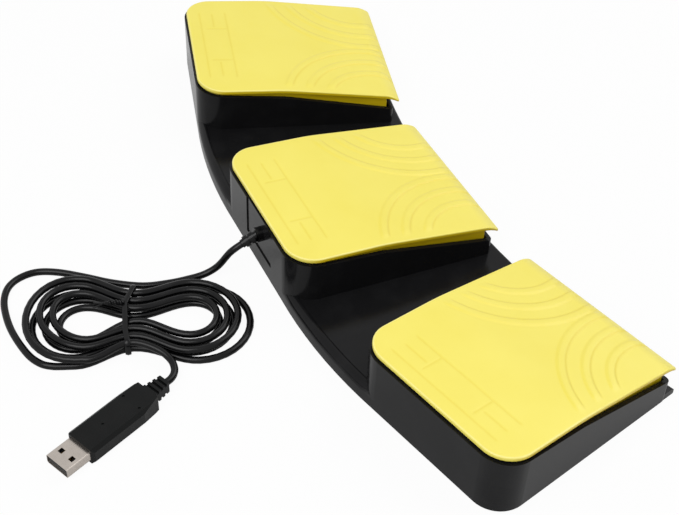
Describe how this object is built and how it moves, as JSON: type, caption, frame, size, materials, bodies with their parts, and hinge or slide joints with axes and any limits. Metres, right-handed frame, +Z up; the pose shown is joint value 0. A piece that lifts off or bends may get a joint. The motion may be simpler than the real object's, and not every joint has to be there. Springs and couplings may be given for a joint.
{
  "type": "foot pedal switch",
  "caption": "Fan-shaped floor switch: wide sprung pedals on turrets of one low base, each pressing a switch, with a coiled USB cord and plug",
  "frame": {"origin": "on the floor under the middle of the base's box, cord and plug left out", "axes": "+Z up, +X along the row of pedals, +Y to the rear, where the cord leaves; the user's foot comes from -Y"},
  "size_m": [0.3316, 0.244, 0.032],
  "materials": {
    "black_plastic": "fine satin",
    "yellow_plastic": "fine satin",
    "steel": "bright zinc",
    "rubber": "soft matt",
    "circuit_board": "solder mask",
    "switch_black": "moulded",
    "switch_red": "moulded",
    "white_plastic": "moulded",
    "nickel": "satin nickel",
    "gold": "flash plated"
  },
  "bodies": {
    "base": {"housing": "black_plastic", "bottom_cover": "black_plastic", "cover_screws": "steel", "rubber_feet": "rubber", "left_spring": "steel", "middle_spring": "steel", "right_spring": "steel", "left_board": "circuit_board", "middle_board": "circuit_board", "right_board": "circuit_board", "left_switch": "switch_black", "middle_switch": "switch_black", "right_switch": "switch_black", "wire_harness": "white_plastic", "inner_cable": "rubber", "cable_gland": "rubber", "cable_lead": "rubber", "cable_hank": "rubber", "cable_tail": "rubber", "twist_tie": "rubber", "plug_grip": "black_plastic", "plug_relief": "rubber", "plug_shell": "nickel", "plug_tongue": "white_plastic", "plug_contacts": "gold"},
    "left_pedal_body": {"left_pedal": "yellow_plastic", "left_hinge_pin": "steel"},
    "left_plunger_body": {"left_plunger": "switch_red"},
    "middle_pedal_body": {"middle_pedal": "yellow_plastic", "middle_hinge_pin": "steel"},
    "middle_plunger_body": {"middle_plunger": "switch_red"},
    "right_pedal_body": {"right_pedal": "yellow_plastic", "right_hinge_pin": "steel"},
    "right_plunger_body": {"right_plunger": "switch_red"}
  },
  "joints": [
    {"name": "left_pedal_hinge", "type": "hinge", "parent": "base", "child": "left_pedal_body", "pos_m": [-0.12407, 0.03008, 0.02], "axis": [0.9664, 0.2571, 0], "range_deg": [0, 3], "stiffness_Nm_per_rad": 8, "springref_deg": -1.72, "deforming": ["left_spring"]},
    {"name": "left_plunger_slide", "type": "slide", "parent": "base", "child": "left_plunger_body", "axis": [0, 0, -1], "range_m": [0, 0.0015]},
    {"name": "middle_pedal_hinge", "type": "hinge", "parent": "base", "child": "middle_pedal_body", "pos_m": [0, 0.04631, 0.02], "axis": [1, 0, 0], "range_deg": [0, 3], "stiffness_Nm_per_rad": 8, "springref_deg": -1.72, "deforming": ["middle_spring"]},
    {"name": "middle_plunger_slide", "type": "slide", "parent": "base", "child": "middle_plunger_body", "axis": [0, 0, -1], "range_m": [0, 0.0015]},
    {"name": "right_pedal_hinge", "type": "hinge", "parent": "base", "child": "right_pedal_body", "pos_m": [0.12407, 0.03008, 0.02], "axis": [0.9664, -0.2571, 0], "range_deg": [0, 3], "stiffness_Nm_per_rad": 8, "springref_deg": -1.72, "deforming": ["right_spring"]},
    {"name": "right_plunger_slide", "type": "slide", "parent": "base", "child": "right_plunger_body", "axis": [0, 0, -1], "range_m": [0, 0.0015]}
  ],
  "couplings": [
    {"joint": "left_plunger_slide", "follows": "left_pedal_hinge", "m_per_rad": 0.028},
    {"joint": "middle_plunger_slide", "follows": "middle_pedal_hinge", "m_per_rad": 0.028},
    {"joint": "right_plunger_slide", "follows": "right_pedal_hinge", "m_per_rad": 0.028}
  ]
}
